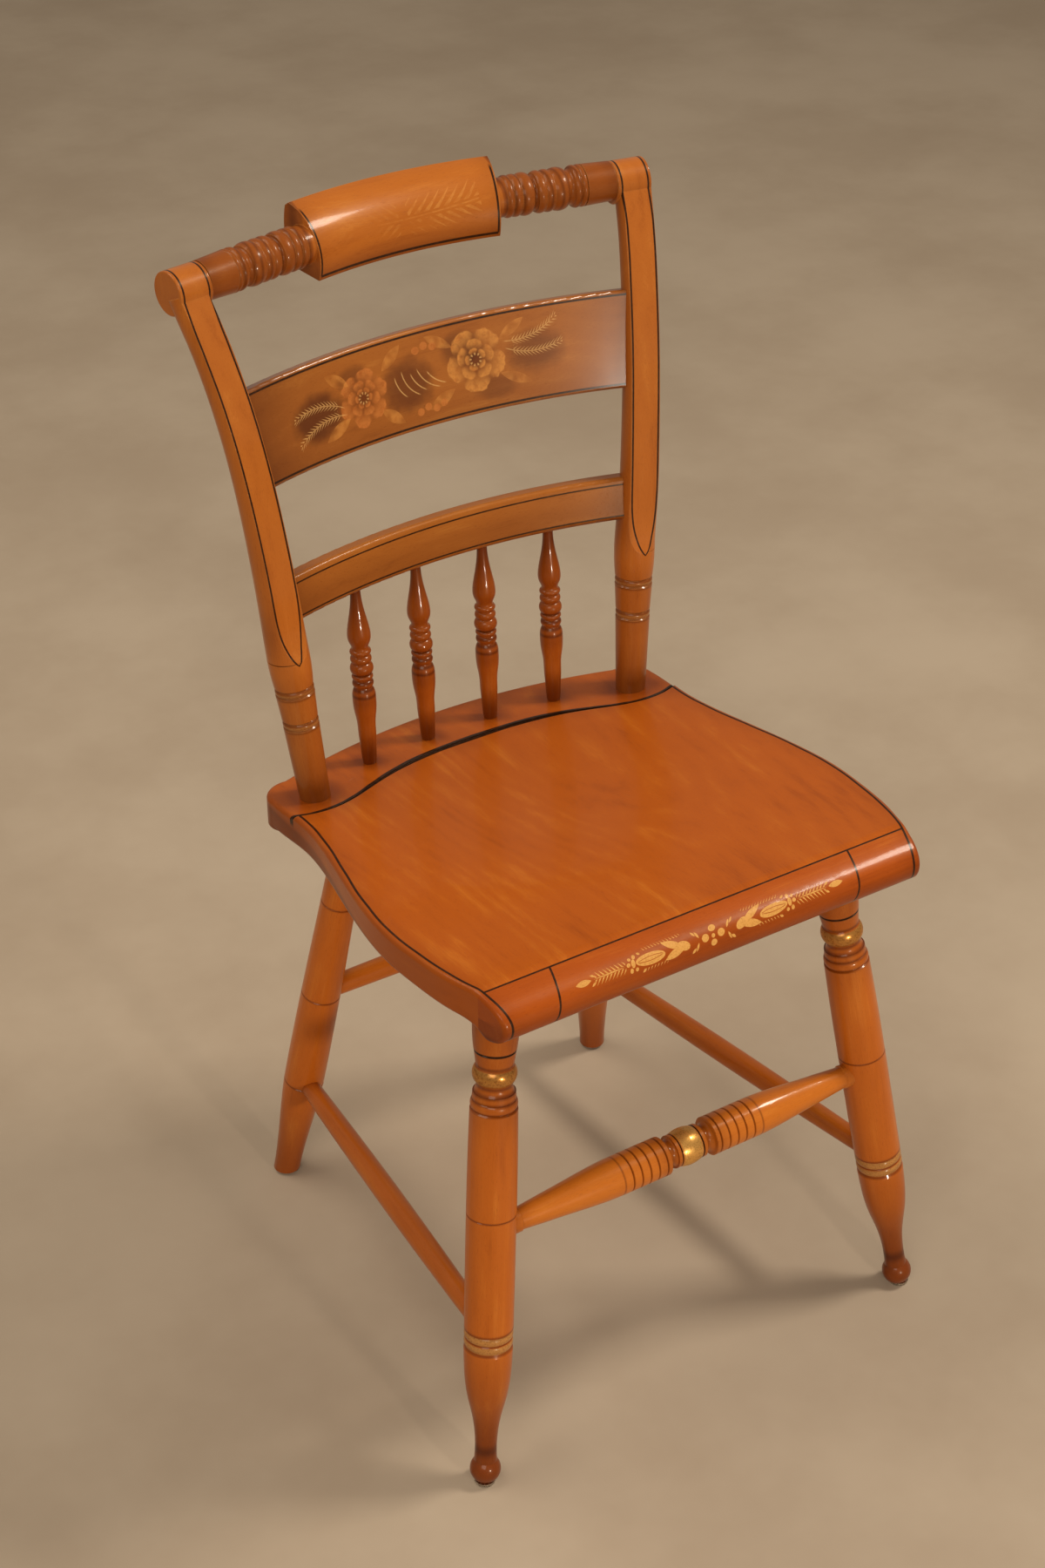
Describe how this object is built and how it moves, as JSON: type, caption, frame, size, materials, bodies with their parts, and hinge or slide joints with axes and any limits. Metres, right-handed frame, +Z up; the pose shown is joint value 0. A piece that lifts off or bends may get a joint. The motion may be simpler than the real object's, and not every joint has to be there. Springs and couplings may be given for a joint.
{
  "type": "side chair",
  "caption": "Side chair with a rolled-front plank seat, turned splayed legs joined by stretchers, and a bent back with pillow crest rail, wide slat, lower rail and short spindles.",
  "frame": {"origin": "on the floor, below the middle of the chair's bounding box", "axes": "+Z up; the chair faces -Y; +X is to the right when the chair is seen from its front"},
  "size_m": [0.4266, 0.4742, 0.8577],
  "materials": {
    "seat": "semi-gloss lacquer over stained maple, black lining and a gold stencilled band on the rolled front",
    "back_post": "semi-gloss lacquer over stained maple",
    "crest_rail": "semi-gloss lacquer over stained maple, with black and gold decoration",
    "slat": "semi-gloss lacquer over stained maple, black lining and a stencilled flower panel",
    "lower_rail": "semi-gloss lacquer over stained maple",
    "spindle": "semi-gloss lacquer over stained maple",
    "front_leg": "semi-gloss lacquer over stained maple, gold rings and a black line",
    "rear_leg": "semi-gloss lacquer over stained maple",
    "front_stretcher": "semi-gloss lacquer over stained maple",
    "plain_stretcher": "semi-gloss lacquer over stained maple",
    "glide": "smooth, slightly worn nickel-plated steel"
  },
  "bodies": {
    "root": {"seat": "seat", "back_post_left": "back_post", "back_post_right": "back_post", "crest_rail": "crest_rail", "slat": "slat", "lower_rail": "lower_rail", "spindle_outer_left": "spindle", "spindle_inner_left": "spindle", "spindle_inner_right": "spindle", "spindle_outer_right": "spindle", "front_leg_left": "front_leg", "front_leg_right": "front_leg", "rear_leg_left": "rear_leg", "rear_leg_right": "rear_leg", "front_stretcher": "front_stretcher", "side_stretcher_left": "plain_stretcher", "side_stretcher_right": "plain_stretcher", "rear_stretcher": "plain_stretcher", "front_glide_left": "glide", "front_glide_right": "glide", "rear_glide_left": "glide", "rear_glide_right": "glide"}
  },
  "joints": []
}
